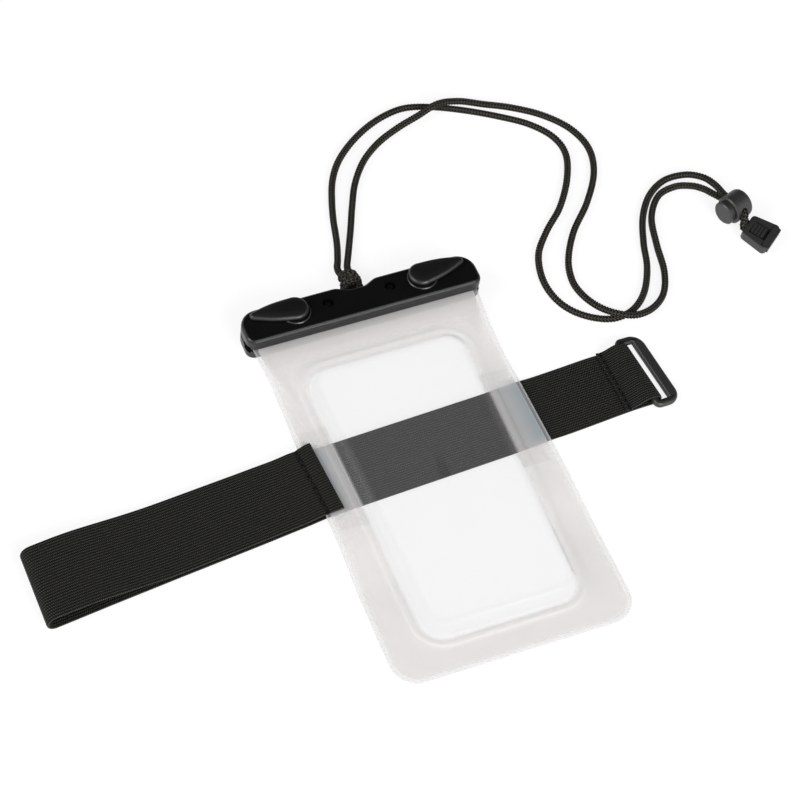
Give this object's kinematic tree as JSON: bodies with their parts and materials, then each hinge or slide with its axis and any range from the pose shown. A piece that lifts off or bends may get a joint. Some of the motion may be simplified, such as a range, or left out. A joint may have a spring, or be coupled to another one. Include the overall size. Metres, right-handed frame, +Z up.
{
  "type": "waterproof armband pouch",
  "caption": "Clear waterproof pouch for a phone, closed by a black bar clamp with two turning levers, with an elastic armband and a neck cord.",
  "frame": {"origin": "centre of the rear clamp bar's flat underside, on the table", "axes": "+X along the clamp towards the ring side of the armband, +Y away from the pouch towards the cord, +Z up through the clamp towards the levers"},
  "size_m": [0.4257, 0.3235, 0.0173],
  "materials": {
    "film": "clear TPU film, frosted flange",
    "clamp": "satin moulded ABS",
    "lever": "satin moulded acetal",
    "seal": "soft moulded silicone",
    "webbing": "ribbed woven elastic",
    "hook_and_loop": "brushed nylon",
    "cord": "braided polyester",
    "fitting": "satin moulded nylon",
    "spring": "drawn steel wire"
  },
  "bodies": {
    "pouch": {"front_film": "film", "back_film": "film", "strap_keeper_left": "film", "strap_keeper_right": "film", "clamp_front_bar": "clamp", "clamp_rear_bar": "clamp", "seal_strip_front": "seal", "seal_strip_rear": "seal", "strap_band": "webbing", "hook_patch": "hook_and_loop", "loop_patch": "hook_and_loop", "lanyard_knot": "cord", "lanyard_cord_a": "cord", "lanyard_cord_b": "cord", "cord_tail_a": "cord", "cord_tail_b": "cord", "cord_lock_body": "fitting", "cord_lock_spring": "spring", "end_clip_housing": "fitting", "end_clip_insert": "fitting"},
    "left_lever": {"lever_left": "lever", "cam_foot_left": "fitting"},
    "right_lever": {"lever_right": "lever", "cam_foot_right": "fitting"},
    "ring": {"strap_ring": "fitting"},
    "lock_button": {"cord_lock_plunger": "fitting"}
  },
  "joints": [
    {"name": "left_lever_turn", "type": "hinge", "parent": "pouch", "child": "left_lever", "pos_m": [-0.0336, 0.0026, 0], "axis": [0, 0, -1], "range_deg": [0, 90]},
    {"name": "right_lever_turn", "type": "hinge", "parent": "pouch", "child": "right_lever", "pos_m": [0.0336, 0.0026, 0], "axis": [0, 0, 1], "range_deg": [0, 90]},
    {"name": "ring_swing", "type": "hinge", "parent": "pouch", "child": "ring", "pos_m": [0.11555, -0.0809, 0.0036], "axis": [0.0976, -0.9952, 0], "range_deg": [-100, 150]},
    {"name": "lock_button_press", "type": "slide", "parent": "pouch", "child": "lock_button", "axis": [0.9511, 0.309, 0], "range_m": [0, 0.002], "stiffness_N_per_m": 800, "springref_m": -0.002}
  ]
}
